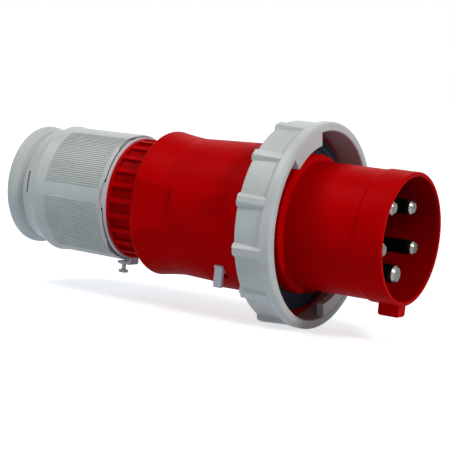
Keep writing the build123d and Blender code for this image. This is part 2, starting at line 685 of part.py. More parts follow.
def slide_window(side):
    """The opening in which one end of the slide shows and travels."""
    return sector(
        SLIDE_ROOM_REAR_X, SLIDE_ROOM_FRONT_X, HOUSING_BORE_R - SINK, PAD_R + PAD_DROP + CUT_OVER,
        slide_root_start(side) - SLIDE_ROOM_ANGLE, SLIDE_ROOT_SPAN + SLIDE_TURN + 2 * SLIDE_ROOM_ANGLE,
    )


def slide_groove():
    """The groove in the housing's bore in which the slide's band travels."""
    half_span = SLIDE_BAND_SPAN / 2 + SLIDE_BAND_ROOM
    return sector(
        SLIDE_ROOM_REAR_X, SLIDE_ROOM_FRONT_X, HOUSING_BORE_R - SINK, SLIDE_BAND_R + SLIDE_BAND + TURN_GAP,
        BOTTOM - half_span, 2 * half_span + SLIDE_TURN,
    )


def make_slide():
    """The housing lock slide: an ear outside at each side, joined by a thin band inside the housing."""
    slide = sector(
        SLIDE_REAR_X, SLIDE_FRONT_X, SLIDE_BAND_R, SLIDE_BAND_R + SLIDE_BAND,
        BOTTOM - SLIDE_BAND_SPAN / 2, SLIDE_BAND_SPAN,
    )
    for side in (-1, 1):
        low, high = sorted((side * (SLIDE_HALF_WIDTH - SLIDE_EAR), side * SLIDE_HALF_WIDTH))
        ear = block(SLIDE_REAR_X, SLIDE_FRONT_X, low, high, SLIDE_BOTTOM_Z, SLIDE_TOP_Z)
        outer_foot = ear.edges().filter_by(Axis.X).group_by(Axis.Z)[0].sort_by(Axis.Y)
        ear = fillet(outer_foot[0 if side < 0 else -1], SLIDE_EAR_ROUNDING)
        ear = fillet(ear.edges().filter_by(Axis.Z), SLIDE_EDGE_ROUNDING)
        root = sector(
            SLIDE_REAR_X, SLIDE_FRONT_X, SLIDE_BAND_R, SLIDE_ROOT_R, slide_root_start(side), SLIDE_ROOT_SPAN
        )
        slide += [ear, root]
    return slide


def make_gland_lock_ring():
    """The thin ring on the neck with its lugs in the nut's recess, and the tab that carries the screw."""
    ring = tube(GLAND_RING_REAR_X, GLAND_RING_FRONT_X, THREAD_R + FIT_GAP, GLAND_RING_R)
    lug = sector(
        GLAND_RING_REAR_X - GLAND_LUG_DEPTH, GLAND_RING_REAR_X + SINK,
        GLAND_RING_R - GLAND_LUG_WALL, GLAND_RING_R, 0.0, GLAND_LUG_SPAN,
    )
    for piece in round_the_axis(lug, GLAND_LUG_COUNT, GLAND_LUG_FIRST_ANGLE):
        ring += piece
    half = TAB_WIDTH / 2
    tab = block(TAB_REAR_X, GLAND_RING_FRONT_X, -half, half, TAB_BOTTOM_Z, TAB_TOP_Z)
    tab = fillet(tab.edges().filter_by(Axis.Y).sort_by(Axis.Z)[:2], TAB_ROUNDING)
    root = block(GLAND_RING_REAR_X, GLAND_RING_FRONT_X, -half, half, TAB_TOP_Z, -(THREAD_R + CUT_OVER))
    hole = upright(SCREW_R + FIT_GAP, TAB_TOP_Z - TAB_BOTTOM_Z + 2 * CUT_OVER)
    return ring + root + (tab - Pos(SCREW_X, 0, TAB_BOTTOM_Z - CUT_OVER) * hole)


def make_gland_screw():
    """A small cross-slot screw that hangs undone from the tab, pointing at the nut's notch."""
    shank = upright(SCREW_R, SCREW_LENGTH)
    shank = chamfer(shank.edges().sort_by(Axis.Z)[-1], SCREW_POINT)
    head = Pos(0, 0, -SCREW_HEAD_HEIGHT) * upright(SCREW_HEAD_R, SCREW_HEAD_HEIGHT)
    head = fillet(head.edges().sort_by(Axis.Z)[0], SCREW_HEAD_ROUNDING)
    slot = Box(SCREW_SLOT_LENGTH, SLOT_WIDTH, 2 * SCREW_SLOT_DEPTH)
    cross = Pos(0, 0, -SCREW_HEAD_HEIGHT) * (slot + Rot(Z=90) * slot)
    return Pos(SCREW_X, 0, TAB_BOTTOM_Z - SCREW_OUT) * (head + shank - cross)


def nut_radius(x):
    """The nut's smooth outside, which tapers a little towards the waist."""
    share = (NUT_FRONT_X - x) / (NUT_FRONT_X - NUT_WAIST_X)
    return NUT_FRONT_R + (NUT_WAIST_R - NUT_FRONT_R) * share


def make_gland_nut():
    """The long nut: panels of fine ribs, scalloped rim, thread bore, closing cone, skirt with slots."""
    nut = turned(
        (NUT_FRONT_X, NUT_RIM_BORE_R),
        (NUT_FRONT_X, NUT_FRONT_R, NUT_ROUNDING),
        (NUT_WAIST_X, NUT_WAIST_R),
        (NUT_REAR_X, NUT_REAR_R, NUT_REAR_ROUNDING),
        (NUT_CONE_X, NUT_CONE_R, NUT_CONE_ROUNDING),
        (NUT_END_X, NUT_END_R, NUT_END_ROUNDING),
        (NUT_END_X, BELL_SPIGOT_R + FIT_GAP),
        (NUT_WALL_REAR_X, BELL_SPIGOT_R + FIT_GAP),
        (NUT_WALL_REAR_X, NUT_WALL_BORE_R),
        (NUT_WALL_FRONT_X, NUT_WALL_BORE_R),
        (NUT_WALL_FRONT_X, NUT_INNER_END_R),
        (CAGE_END_X, NUT_INNER_END_R),
        (CAGE_SEAT_X, NUT_BORE_R),
        (NUT_FRONT_X - NUT_RECESS, NUT_BORE_R),
        (NUT_FRONT_X - NUT_RECESS, NUT_RIM_BORE_R),
    )
    pitch = PANEL_SPAN / FINE_RIBS
    rear_r, front_r = nut_radius(PANEL_REAR_X), nut_radius(PANEL_FRONT_X)
    rib_outline = make_face(Polyline(
        (PANEL_REAR_X, rear_r - SINK),
        (PANEL_FRONT_X, front_r - SINK),
        (PANEL_FRONT_X, front_r + FINE_RIB_HEIGHT),
        (PANEL_REAR_X, rear_r + FINE_RIB_HEIGHT),
        close=True,
    ))
    rib = revolve(rib_outline, Axis.X, pitch * FINE_RIB_SHARE)
    ribs = []
    for group in range(PANEL_GROUPS):
        for panel in range(PANELS_IN_GROUP):
            middle = PANEL_FIRST_ANGLE + 360.0 * group / PANEL_GROUPS + PANEL_PITCH * panel
            start = middle - PANEL_SPAN / 2
            ribs += [Rot(X=start + pitch * i) * rib for i in range(FINE_RIBS)]
    nut += ribs
    scallop = Pos(NUT_FRONT_X - SCALLOP_DEPTH + SCALLOP_R, 0, NUT_BORE_R) * upright(
        SCALLOP_R, NUT_FRONT_R - NUT_BORE_R + CUT_OVER
    )
    for piece in round_the_axis(scallop, SCALLOP_COUNT, SCALLOP_FIRST_ANGLE - 90.0):
        nut -= piece
    half = CATCH_WIDTH / 2
    slot = sector(CATCH_X - half, CATCH_X + half, NUT_END_R - CATCH_DEPTH, NUT_CONE_R, 0.0, CATCH_SPAN)
    for piece in round_the_axis(slot, CATCH_COUNT, CATCH_FIRST_ANGLE):
        nut -= piece
    low_z, high_z = -(NUT_FRONT_R + CUT_OVER), -(THREAD_R - CUT_OVER)
    notch = block(NOTCH_REAR_X, NUT_FRONT_X + CUT_OVER, -NOTCH_HALF_WIDTH, NOTCH_HALF_WIDTH, low_z, high_z)
    return nut - notch


def make_bell_mouth():
    """The flared cable mouth, whose spigot clips into the nut's rear skirt."""
    return turned(
        (NUT_WALL_REAR_X - FIT_GAP, BELL_THROAT_R),
        (NUT_WALL_REAR_X - FIT_GAP, BELL_SPIGOT_R),
        (NUT_END_X - FIT_GAP, BELL_SPIGOT_R),
        (NUT_END_X - FIT_GAP, BELL_NECK_R),
        (NUT_END_X - BELL_NECK_LENGTH, BELL_NECK_R, BELL_NECK_ROUNDING),
        (BELL_RIM_X, BELL_RIM_R, BELL_FLARE_ROUNDING),
        (BELL_END_X, BELL_RIM_R, BELL_RIM_ROUNDING),
        (BELL_END_X, BELL_RIM_R - BELL_LIP, BELL_LIP_ROUNDING),
        (BELL_END_X + BELL_MOUTH_DEPTH, BELL_RIM_R - BELL_LIP - BELL_MOUTH_TAPER, BELL_LIP_ROUNDING),
    )


def make_clamp_cage():
    """A slotted collar at the neck's end; its fingers follow the nut's cone and press on the grommet."""
    cage = turned(
        (CAGE_SEAT_X + CAGE_RING, NECK_BORE_R),
        (CAGE_SEAT_X + CAGE_RING, THREAD_R),
        (CAGE_SEAT_X, THREAD_R),
        (CAGE_END_X, CAGE_TIP_R),
        (CAGE_END_X, CAGE_TIP_R - CAGE_WALL),
        (CAGE_SEAT_X, NECK_BORE_R),
    )
    half = CAGE_SLIT / 2
    inner_y = CAGE_TIP_R - CAGE_WALL - CUT_OVER
    slit = block(CAGE_END_X - CUT_OVER, CAGE_SEAT_X, inner_y, THREAD_R + CUT_OVER, -half, half)
    for piece in round_the_axis(slit, CAGE_FINGERS):
        cage -= piece
    return cage


def make_grommet():
    """The rubber sleeve round the cable, with a shallow ring groove for each cable size."""
    grommet = tube(GROMMET_REAR_X, GROMMET_FRONT_X, GROMMET_BORE_R, GROMMET_R)
    half = GROMMET_GROOVE_WIDTH / 2
    floor_x = GROMMET_REAR_X + GROMMET_GROOVE_DEPTH
    for step in range(1, GROMMET_GROOVES + 1):
        groove_r = GROMMET_BORE_R + (GROMMET_R - GROMMET_BORE_R) * step / (GROMMET_GROOVES + 1)
        grommet -= tube(GROMMET_REAR_X - CUT_OVER, floor_x, groove_r - half, groove_r + half)
    return grommet


def make_washer():
    """The slip washer that the nut pushes against the grommet."""
    return tube(WASHER_REAR_X, WASHER_REAR_X + WASHER_THICKNESS, WASHER_BORE_R, NUT_INNER_END_R - TURN_GAP)


def export(name, *solids):
    os.makedirs("parts", exist_ok=True)
    found = [solid for piece in solids for solid in piece.solids()]
    shape = found[0] if len(found) == 1 else Compound(children=found)
    shape.label = name
    export_step(shape, f"parts/{name}.step")


def main():
    export("shroud", make_shroud())
    export("flange_gasket", make_gasket())
    for name, pin_r, pitch_r, angle, tip_x in CONTACTS:
        export(name, make_contact(pin_r, pitch_r, angle, tip_x))
    export("terminal_screws", *[make_terminal_screw(c[1], c[2], c[3]) for c in CONTACTS])
    export("contact_carrier", make_carrier())
    export("carrier_retainer", make_retainer())
    export("carrier_screws", *make_carrier_screws())
    export("lock_ring", make_lock_ring())
    export("rear_housing", make_rear_housing())
    export("housing_o_ring", make_o_ring())
    export("housing_lock_slide", make_slide())
    export("gland_lock_ring", make_gland_lock_ring())
    export("gland_lock_screw", make_gland_screw())
    export("clamp_cage", make_clamp_cage())
    export("cable_grommet", make_grommet())
    export("thrust_washer", make_washer())
    export("gland_nut", make_gland_nut())
    export("bell_mouth", make_bell_mouth())


main()
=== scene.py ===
"""Looks for the industrial pin and sleeve plug: finishes, the neck's thread, the stage and the camera."""

import json
import math

import bpy
from mathutils import Matrix, Vector


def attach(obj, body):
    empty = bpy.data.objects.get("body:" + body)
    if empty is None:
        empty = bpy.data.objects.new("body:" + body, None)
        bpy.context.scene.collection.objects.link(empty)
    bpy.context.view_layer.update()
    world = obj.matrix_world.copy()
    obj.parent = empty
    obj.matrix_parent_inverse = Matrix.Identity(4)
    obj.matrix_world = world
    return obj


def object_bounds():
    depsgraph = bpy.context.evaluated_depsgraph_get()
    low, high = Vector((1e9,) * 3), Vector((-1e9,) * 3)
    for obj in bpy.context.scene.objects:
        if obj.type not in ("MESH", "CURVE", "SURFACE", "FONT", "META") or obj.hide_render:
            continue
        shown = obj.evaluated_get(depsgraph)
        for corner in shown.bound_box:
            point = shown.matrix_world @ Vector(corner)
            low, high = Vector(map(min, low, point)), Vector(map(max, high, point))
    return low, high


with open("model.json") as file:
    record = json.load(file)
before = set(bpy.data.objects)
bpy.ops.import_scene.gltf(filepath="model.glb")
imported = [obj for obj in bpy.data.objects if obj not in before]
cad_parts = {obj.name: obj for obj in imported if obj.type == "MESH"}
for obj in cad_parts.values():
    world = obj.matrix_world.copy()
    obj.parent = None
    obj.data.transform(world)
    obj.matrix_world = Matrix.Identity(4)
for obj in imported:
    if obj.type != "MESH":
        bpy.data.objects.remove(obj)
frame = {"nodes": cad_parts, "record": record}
CAD_LOW, CAD_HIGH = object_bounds()

bl_info = {
    "name": "Pin and Sleeve Plug Looks",
    "version": (1, 0, 0),
    "blender": (4, 5, 0),
    "location": "3D View > Sidebar > Plug",
    "description": "Finishes, fine detail and stage for an industrial pin and sleeve plug",
    "category": "Object",
}

MM = 0.001

# The view that the picture was taken from: place and clipping in metres, the camera's axes, and
# lens and sensor in millimetres
CAMERA_PLACE = (0.393722, -0.839409, 0.076197)
CAMERA_RIGHT = (0.84582, 0.52330, 0.10370)
CAMERA_UP = (-0.13317, 0.01888, 0.99091)
CAMERA_FORWARD = (-0.51659, 0.85194, -0.08565)
CAMERA_LENS = 139.38
CAMERA_SENSOR = 36.0
CAMERA_CLIP = (0.01, 100.0)

# Lamps: name, place and width in metres, power in watts, colour
LAMPS = (
    ("rear_top", (-0.80, -0.50, 1.34), 0.7, 9.8, (1.0, 1.0, 0.98)),
    ("front_top", (1.38, -0.42, 1.00), 0.35, 14.5, (1.0, 0.96, 0.98)),
    ("back", (-0.7, 1.1, 0.9), 0.9, 1.5, (1.0, 1.0, 1.0)),
)

# Floor: how far it lies under the plug in metres, its own light near the plug, and where that
# light starts and ends its rise to full, in millimetres
FLOOR_DROP = 0.2 * MM
FLOOR_GLOW = 0.7
FLOOR_GLOW_RISE = (200.0, 1400.0)
WHITE = (1.0, 1.0, 1.0, 1.0)

# Radius of the rib tops that hands and benches rub, in millimetres
RING_RIB_R = 57.0
NUT_RIB_R = 37.05

# Recesses darkened with painted shade: outer radius and rear end in millimetres, and shade
SLEEVE_BORE_SHADE = (33.6, -62.0, 0.6)
NECK_POCKET_SHADE = (33.3, -172.8, 0.7)
BELL_WAIST_SHADE = (32.3, -238.0, 0.78)
# Where the painted shade fades out: about its outer radius, and behind its rear end, in millimetres
RECESS_EDGE = (-0.2, 1.0)
RECESS_REAR_FADE = 4.0

INSULATOR_ROUGHNESS = 0.5

# Textures: scales in bumps per millimetre, and stretches along X, Y and Z, where a lower value makes
# longer marks. Depths of the reliefs are in millimetres
CLOUD_SCALE = 0.045
SPECK_SCALE = 1.9
GRAIN_SCALE = 3.2
STREAK_SCALE = 0.55
STREAK_STRETCH = (0.12, 1.0, 1.0)
BLOOM_SCALE = 0.12
SKIN_SCALE = 2.4
RUB_SCALE = 1.6
RUB_STRETCH = (0.03, 1.0, 1.0)
TURNING_SCALE = 3.0
TURNING_STRETCH = (1.0, 0.02, 0.02)
SPANGLE_SCALE = 1.4
GRIME_SCALE = 0.6
FLOOR_SCALE = 0.004
GRAIN_DEPTH = 0.06
METAL_DEPTH = 0.02

# Contacts, in millimetres: length of a pin's bright end, where its dark shaft, which is painted
# shadow, ends at the root, the fades of both, and how far behind the tip the pin's outline is measured
PIN_BRIGHT = 2.6
PIN_BRIGHT_FADE = 0.15
PIN_ROOT_X = -57.4
PIN_ROOT_FADE = 0.4
PIN_FACE_DEPTH = 2.0
# The duller end face: how far behind the tip it fades in, in millimetres, the shares of the pin's
# radius where it fades out, its tint, and its shade beside the nickel
PIN_FACE_X = (1.0, 0.4)
PIN_FACE_SHARE = (0.66, 0.8)
PIN_FACE_TINT = (0.9, 1.0, 0.93)
PIN_FACE_SHADE = 0.42

# Thread on the housing's neck, which shows when the gland nut is run back: radius of its root, just
# under the neck's surface, its ends and the width of its crest, in metres, and segments in a turn
THREAD_ROOT_R = 32.5 * MM
THREAD_FRONT = -0.1795
THREAD_REAR = -0.2035
THREAD_CREST = 0.3 * MM
THREAD_SEGMENTS = 96


def add_node(tree, kind, settings=None, inputs=None):
    """Adds a node to a tree, sets it up, and fills or links its sockets."""
    node = tree.nodes.new(kind)
    for key, value in (settings or {}).items():
        setattr(node, key, value)
    for key, value in (inputs or {}).items():
        if isinstance(value, bpy.types.NodeSocket):
            tree.links.new(value, node.inputs[key])
        else:
            node.inputs[key].default_value = value
    return node


class Wire:
    """A shader socket that works in Python expressions. Each operator adds one Math node."""

    def __init__(self, sheet, socket):
        self.sheet = sheet
        self.socket = socket

    def _maths(self, operation, *values):
        inputs = dict(enumerate(values))
        return self.sheet.add("ShaderNodeMath", {"operation": operation}, inputs)

    def __add__(self, other):
        return self._maths("ADD", self, other)

    def __radd__(self, other):
        return self._maths("ADD", other, self)

    def __sub__(self, other):
        return self._maths("SUBTRACT", self, other)

    def __rsub__(self, other):
        return self._maths("SUBTRACT", other, self)

    def __mul__(self, other):
        return self._maths("MULTIPLY", self, other)

    def __rmul__(self, other):
        return self._maths("MULTIPLY", other, self)

    def __pow__(self, other):
        return self._maths("POWER", self, other)

    def __rpow__(self, other):
        return self._maths("POWER", other, self)

    def most(self, other):
        """The larger of the two."""
        return self._maths("MAXIMUM", self, other)

    def step(self, low, high):
        """Rises smoothly from 0 at low to 1 at high."""
        inputs = {"Value": self, "From Min": low, "From Max": high}
        return self.sheet.add("ShaderNodeMapRange", {"interpolation_type": "SMOOTHSTEP"}, inputs)

    def beside(self, output):
        """Another output of the same node."""
        return Wire(self.sheet, self.socket.node.outputs[output])


class Sheet:
    """The node tree of a material or a world: one method adds any node, the others are short forms."""

    def __init__(self, owner):
        owner.use_nodes = True
        self.owner = owner
        self.tree = owner.node_tree
        self.tree.nodes.clear()

    def add(self, kind, settings=None, inputs=None, output=0):
        """Adds a node and returns one of its outputs."""
        sockets = {
            key: value.socket if isinstance(value, Wire) else value
            for key, value in (inputs or {}).items()
        }
        node = add_node(self.tree, kind, settings, sockets)
        return Wire(self, node.outputs[output]) if len(node.outputs) else None

    def place(self, stretch=(1.0, 1.0, 1.0)):
        """Object coordinates in millimetres, stretched along the axes."""
        coords = self.add("ShaderNodeTexCoord", output="Object")
        scale = tuple(s / MM for s in stretch)
        return self.add("ShaderNodeVectorMath", {"operation": "MULTIPLY"}, {0: coords, 1: scale})

    def axes(self, middle=(0.0, 0.0)):
        """Along X, and away from the line along X through the middle (y, z), in millimetres."""
        inputs = {0: self.place(), 1: (0.0, *middle)}
        centred = self.add("ShaderNodeVectorMath", {"operation": "SUBTRACT"}, inputs)
        x = self.add("ShaderNodeSeparateXYZ", inputs={0: centred})
        y, z = x.beside("Y"), x.beside("Z")
        return x, (y * y + z * z) ** 0.5

    def noise(self, scale, detail, stretch=(1.0, 1.0, 1.0)):
        """Soft noise around 0.5; scale is in bumps per millimetre."""
        inputs = {"Vector": self.place(stretch), "Scale": scale, "Detail": detail}
        return self.add("ShaderNodeTexNoise", inputs=inputs, output="Fac")

    def cells(self, scale):
        """Distance to the middle of the nearest cell."""
        inputs = {"Vector": self.place(), "Scale": scale}
        return self.add("ShaderNodeTexVoronoi", inputs=inputs, output="Distance")

    def mix(self, share, first, second):
        """Blends two colours."""
        inputs = {0: share, 6: first, 7: second}
        return self.add("ShaderNodeMix", {"data_type": "RGBA"}, inputs, output=2)

    def bump(self, height, strength, depth):
        """A relief of the given depth in millimetres."""
        inputs = {"Height": height, "Strength": strength, "Distance": depth * MM}
        return self.add("ShaderNodeBump", inputs=inputs)

    def seen_directly(self):
        """1 for the camera, for reflections and through clear things, 0 where light is gathered."""
        camera = self.add("ShaderNodeLightPath", output="Is Camera Ray")
        return camera.most(camera.beside("Is Glossy Ray")).most(camera.beside("Is Transmission Ray"))

    def finish(self, **inputs):
        """Joins everything to the surface shader and returns the material."""
        named = {key.replace("_", " "): value for key, value in inputs.items()}
        shader = self.add("ShaderNodeBsdfPrincipled", inputs=named)
        self.add("ShaderNodeOutputMaterial", inputs={"Surface": shader})
        return self.owner


def shade(colour, factor):
    """The same colour, lighter or darker, with full alpha."""
    return tuple(min(1.0, c * factor) for c in colour[:3]) + (1.0,)


def moulded(name, colour, look, gloss, roughness=None, handled_r=None, recess=None):
    """Satin moulded plastic: slow tone changes, fine eroded grain, rubbed streaks, polished high edges,
    and painted shade in a recess if one is given.
    """
    sheet = Sheet(bpy.data.materials.new(name))
    x, radius = sheet.axes()
    cloud = sheet.noise(CLOUD_SCALE, 2.0)
    speck = sheet.noise(SPECK_SCALE, 2.0)
    grainy = sheet.noise(GRAIN_SCALE, 2.0)
    rubbed = sheet.noise(STREAK_SCALE, 3.0, STREAK_STRETCH).step(0.58, 0.74)
    base = sheet.mix(cloud.step(0.3, 0.7), shade(colour, 0.94), shade(colour, 1.05))
    base = sheet.mix(rubbed * 0.35, base, shade(colour, 1.12))
    base = sheet.mix(speck.step(0.62, 0.8) * 0.12, base, shade(colour, 0.8))
    # Painted shade: the colour is darkened inside the recess, standing in for the shadow there
    if recess:
        recess_r, rear_x, darker = recess
        inner, outer = (recess_r + edge for edge in RECESS_EDGE)
        painted_shade_mask = (1.0 - radius.step(inner, outer)) * x.step(rear_x - RECESS_REAR_FADE, rear_x)
        base = sheet.mix(painted_shade_mask, base, shade(colour, darker))
    start = look.roughness if roughness is None else roughness
    rough = start + (speck - 0.5) * 0.12 - rubbed * 0.08
    if handled_r:
        polished = radius.step(handled_r - 0.5, handled_r + 0.2)
        base = sheet.mix(polished * 0.25, base, shade(colour, 1.2))
        rough = rough - polished * 0.1
    return sheet.finish(
        Base_Color=base, Roughness=rough, IOR=1.49, Specular_IOR_Level=gloss,
        Normal=sheet.bump(grainy + speck * 0.5, look.grain, GRAIN_DEPTH),
    )


def rubber(name, colour):
    """Matt rubber with a faint bloom and a fine moulded skin."""
    sheet = Sheet(bpy.data.materials.new(name))
    bloom = sheet.noise(BLOOM_SCALE, 3.0).step(0.45, 0.7)
    skin = sheet.noise(SKIN_SCALE, 2.0)
    return sheet.finish(
        Base_Color=sheet.mix(bloom * 0.4, shade(colour, 1.0), shade(colour, 1.6)),
        Roughness=0.72 + bloom * 0.12,
        IOR=1.5,
        Specular_IOR_Level=0.2,
        Normal=sheet.bump(skin, 0.35, GRAIN_DEPTH),
    )


def pin_place(node):
    """Where a contact's pin ends, its middle (y, z) and its radius, in millimetres."""
    corners = [vertex.co / MM for vertex in node.data.vertices]
    tip = max(corner.x for corner in corners)
    face = [corner for corner in corners if corner.x > tip - PIN_FACE_DEPTH]
    y = (min(corner.y for corner in face) + max(corner.y for corner in face)) / 2
    z = (min(corner.z for corner in face) + max(corner.z for corner in face)) / 2
    radius = max(math.hypot(corner.y - y, corner.z - z) for corner in face)
    return tip, (y, z), radius


def pin_metal(node, colour, dark, roughness):
    """Plated contact: bright worn edge at the tip, duller face, rubs along the pin, and a near-black shaft
    that is painted shadow.
    """
    tip, middle, pin_r = pin_place(node)
    sheet = Sheet(bpy.data.materials.new(node.name + "_metal"))
    x, away = sheet.axes(middle)
    turning = sheet.noise(TURNING_SCALE, 2.0, TURNING_STRETCH)
    stains = sheet.noise(STREAK_SCALE, 3.0).step(0.42, 0.68)
    rubs = sheet.noise(RUB_SCALE, 3.0, RUB_STRETCH).step(0.5, 0.75)
    behind = x.step(*(tip - back for back in PIN_FACE_X))
    face = behind * (1.0 - away.step(*(pin_r * share for share in PIN_FACE_SHARE)))
    metal = sheet.mix(stains * 0.7, shade(colour, 1.0), shade(colour, 0.3))
    metal = sheet.mix(rubs * 0.3, metal, shade(colour, 1.3))
    metal = sheet.mix(face * 0.85, metal, shade(PIN_FACE_TINT, colour[0] * PIN_FACE_SHADE))
    bright_x = tip - PIN_BRIGHT
    bright = x.step(bright_x - PIN_BRIGHT_FADE, bright_x)
    # Painted shadow: behind the bright end the shaft is made near-black and not metal, standing in for the
    # shade inside the shroud
    shaft = (1.0 - bright) * x.step(PIN_ROOT_X - PIN_ROOT_FADE, PIN_ROOT_X)
    # The painted shadow's colour on the shaft, with faint rubs and stains
    sleeve = sheet.mix(rubs * 0.5 + stains * 0.2, shade(dark, 1.0), shade(dark, 2.2))
    return sheet.finish(
        Base_Color=sheet.mix(shaft, metal, sleeve),
        Metallic=1.0 - shaft,
        Roughness=roughness + stains * 0.12 + shaft * 0.25,
        Specular_IOR_Level=0.05,
        Normal=sheet.bump(turning, 0.1, METAL_DEPTH),
    )


def plated_steel(name, colour):
    """Zinc plated steel with the small crystals of the plating."""
    sheet = Sheet(bpy.data.materials.new(name))
    spangle = sheet.cells(SPANGLE_SCALE)
    grime = sheet.noise(GRIME_SCALE, 3.0).step(0.5, 0.75)
    base = sheet.mix(spangle, shade(colour, 0.85), shade(colour, 1.1))
    return sheet.finish(
        Base_Color=sheet.mix(grime * 0.6, base, shade(colour, 0.4)),
        Metallic=1.0,
        Roughness=0.3 + spangle * 0.12 + grime * 0.2,
        Normal=sheet.bump(spangle, 0.15, METAL_DEPTH),
    )


def dress(material, *names):
    """Gives CAD nodes their material and leaves their shading as packed."""
    for name in names:
        node = frame["nodes"].get(name)
        if node is None:
            raise RuntimeError(f"the frame has no node {name}")
        node.data.materials.clear()
        node.data.materials.append(material)


def body_of(name):
    """The body that a CAD node rides on."""
    for body, names in frame["record"]["behaviour"]["bodies"].items():
        if name in names:
            return body
    raise RuntimeError(f"no body holds {name}")


class PlugPlastics(bpy.types.PropertyGroup):
    """Colours and surface of the mouldings and the seals."""

    red: bpy.props.FloatVectorProperty(
        name="Red", description="Colour of the shroud and the rear housing",
        subtype="COLOR", size=3, min=0.0, max=1.0, default=(0.50, 0.0, 0.001),
    )
    grey: bpy.props.FloatVectorProperty(
        name="Grey", description="Colour of the lock ring, gland nut and bell mouth",
        subtype="COLOR", size=3, min=0.0, max=1.0, default=(0.548, 0.586, 0.565),
    )
    pale: bpy.props.FloatVectorProperty(
        name="Pale grey", description="Colour of the gland lock ring and the clamp cage",
        subtype="COLOR", size=3, min=0.0, max=1.0, default=(0.62, 0.56, 0.60),
    )
    slide: bpy.props.FloatVectorProperty(
        name="Slide", description="Colour of the lock slide",
        subtype="COLOR", size=3, min=0.0, max=1.0, default=(0.60, 0.60, 0.65),
    )
    black: bpy.props.FloatVectorProperty(
        name="Black", description="Colour of the contact carrier, its retainer and the slip washer",
        subtype="COLOR", size=3, min=0.0, max=1.0, default=(0.016, 0.015, 0.016),
    )
    rubber: bpy.props.FloatVectorProperty(
        name="Rubber", description="Colour of the gasket, the round seal and the cable grommet",
        subtype="COLOR", size=3, min=0.0, max=1.0, default=(0.012, 0.016, 0.030),
    )
    roughness: bpy.props.FloatProperty(
        name="Roughness", description="Roughness of the mouldings",
        subtype="FACTOR", min=0.0, max=1.0, default=0.42,
    )
    red_gloss: bpy.props.FloatProperty(
        name="Red gloss", description="How much the red mouldings reflect",
        subtype="FACTOR", min=0.0, max=1.0, default=0.01,
    )
    grey_gloss: bpy.props.FloatProperty(
        name="Grey gloss", description="How much the grey and black mouldings reflect",
        subtype="FACTOR", min=0.0, max=1.0, default=0.25,
    )
    grain: bpy.props.FloatProperty(
        name="Grain", description="Strength of the fine eroded grain",
        subtype="FACTOR", min=0.0, max=1.0, default=0.22,
    )


class PlugMetals(bpy.types.PropertyGroup):
    """Colours and surface of the metal pieces."""

    nickel: bpy.props.FloatVectorProperty(
        name="Nickel", description="Colour of the plated contacts",
        subtype="COLOR", size=3, min=0.0, max=1.0, default=(0.30, 0.29, 0.27),
    )
    # Painted shadow: the near-black colour given to the contacts' shafts
    shaft: bpy.props.FloatVectorProperty(
        name="Shaft", description="Colour of the contacts' dark shafts",
        subtype="COLOR", size=3, min=0.0, max=1.0, default=(0.0015, 0.0015, 0.0015),
    )
    steel: bpy.props.FloatVectorProperty(
        name="Steel", description="Colour of the screws",
        subtype="COLOR", size=3, min=0.0, max=1.0, default=(0.22, 0.22, 0.23),
    )
    roughness: bpy.props.FloatProperty(
        name="Roughness", description="Roughness of the contacts",
        subtype="FACTOR", min=0.0, max=1.0, default=0.24,
    )


class PlugThread(bpy.types.PropertyGroup):
    """The thread that the gland nut runs on."""

    pitch: bpy.props.FloatProperty(
        name="Pitch", description="Distance between turns",
        unit="LENGTH", min=0.001, default=4.0 * MM,
    )
    height: bpy.props.FloatProperty(
        name="Height", description="How far a turn stands above its root",
        unit="LENGTH", min=0.0, default=0.28 * MM,
    )
    width: bpy.props.FloatProperty(
        name="Width", description="Width of a turn at its base",
        unit="LENGTH", min=0.0, default=1.5 * MM,
    )


class PlugStage(bpy.types.PropertyGroup):
    """The floor and the light."""

    floor: bpy.props.FloatVectorProperty(
        name="Floor", description="Colour of the floor",
        subtype="COLOR", size=3, min=0.0, max=1.0, default=(0.66, 0.73, 0.82),
    )
    size: bpy.props.FloatProperty(
        name="Floor size", description="Width of the floor",
        unit="LENGTH", min=1.0, default=40.0,
    )
    power: bpy.props.FloatProperty(
        name="Light", description="Strength of the lamps",
        subtype="FACTOR", min=0.0, soft_max=4.0, default=1.0,
    )
    ambient: bpy.props.FloatProperty(
        name="Ambient", description="Brightness of the surroundings",
        subtype="FACTOR", min=0.0, soft_max=2.0, default=0.25,
    )


class PLUG_OT_red_mouldings(bpy.types.Operator):
    """Finish the shroud and the rear housing in red plastic"""

    bl_idname = "plug.red_mouldings"
    bl_label = "Red mouldings"

    def execute(self, context):
        look = context.scene.plug_plastics
        finishes = (
            ("red_plastic", NECK_POCKET_SHADE, "rear_housing"),
            ("red_plastic_shroud", SLEEVE_BORE_SHADE, "shroud"),
        )
        for name, recess, node in finishes:
            dress(moulded(name, look.red, look, look.red_gloss, recess=recess), node)
        return {"FINISHED"}


class PLUG_OT_grey_mouldings(bpy.types.Operator):
    """Finish the lock ring, gland nut, bell mouth, lock slide and the gland's pale pieces"""

    bl_idname = "plug.grey_mouldings"
    bl_label = "Grey mouldings"

    def execute(self, context):
        look = context.scene.plug_plastics
        finishes = (
            ("grey_plastic_ring", look.grey, {"handled_r": RING_RIB_R}, ["lock_ring"]),
            ("grey_plastic_nut", look.grey, {"handled_r": NUT_RIB_R}, ["gland_nut"]),
            ("grey_plastic_bell", look.grey, {"recess": BELL_WAIST_SHADE}, ["bell_mouth"]),
            ("slide_plastic", look.slide, {}, ["housing_lock_slide"]),
            ("pale_plastic", look.pale, {}, ["gland_lock_ring", "clamp_cage"]),
        )
        for name, colour, extra, nodes in finishes:
            dress(moulded(name, colour, look, look.grey_gloss, **extra), *nodes)
        return {"FINISHED"}


